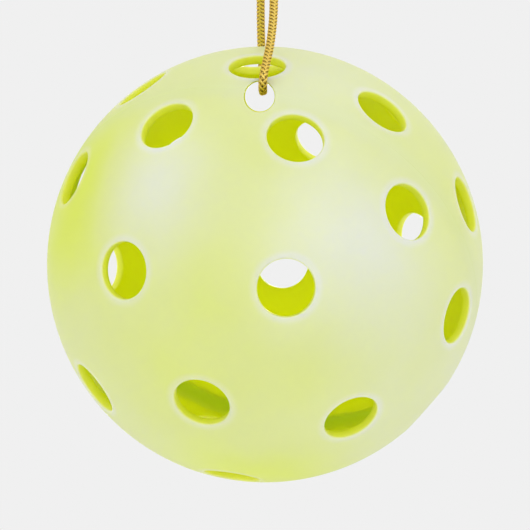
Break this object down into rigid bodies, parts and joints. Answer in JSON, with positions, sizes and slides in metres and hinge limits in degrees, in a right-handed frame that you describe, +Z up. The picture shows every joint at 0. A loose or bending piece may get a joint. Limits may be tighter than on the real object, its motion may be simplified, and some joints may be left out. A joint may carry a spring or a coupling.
{
  "type": "perforated ball on a hanging cord",
  "caption": "Hollow perforated plastic ball of two welded half shells, hung on a thin braided cord loop with a knot.",
  "frame": {"origin": "the hanging point, in the fork of the cord right under its knot, 54 mm above the ball's centre", "axes": "+Z up along the line the ball hangs on, -Y towards the front of the ball, +X to the viewer's right"},
  "size_m": [0.074, 0.074, 0.1025],
  "materials": {
    "ball_plastic": "satin moulded polyethylene, pale lime",
    "gold_cord": "braided metallic yarn, gold"
  },
  "bodies": {
    "cord": {"hanging_cord": "gold_cord", "cord_knot": "gold_cord"},
    "ball": {"front_half_shell": "ball_plastic", "back_half_shell": "ball_plastic"}
  },
  "joints": [
    {"name": "ball_rock", "type": "hinge", "parent": "cord", "child": "ball", "pos_m": [-0.0001, 0, -0.0243], "axis": [0, 0.9991, 0.0419], "range_deg": [-25, 25]}
  ]
}
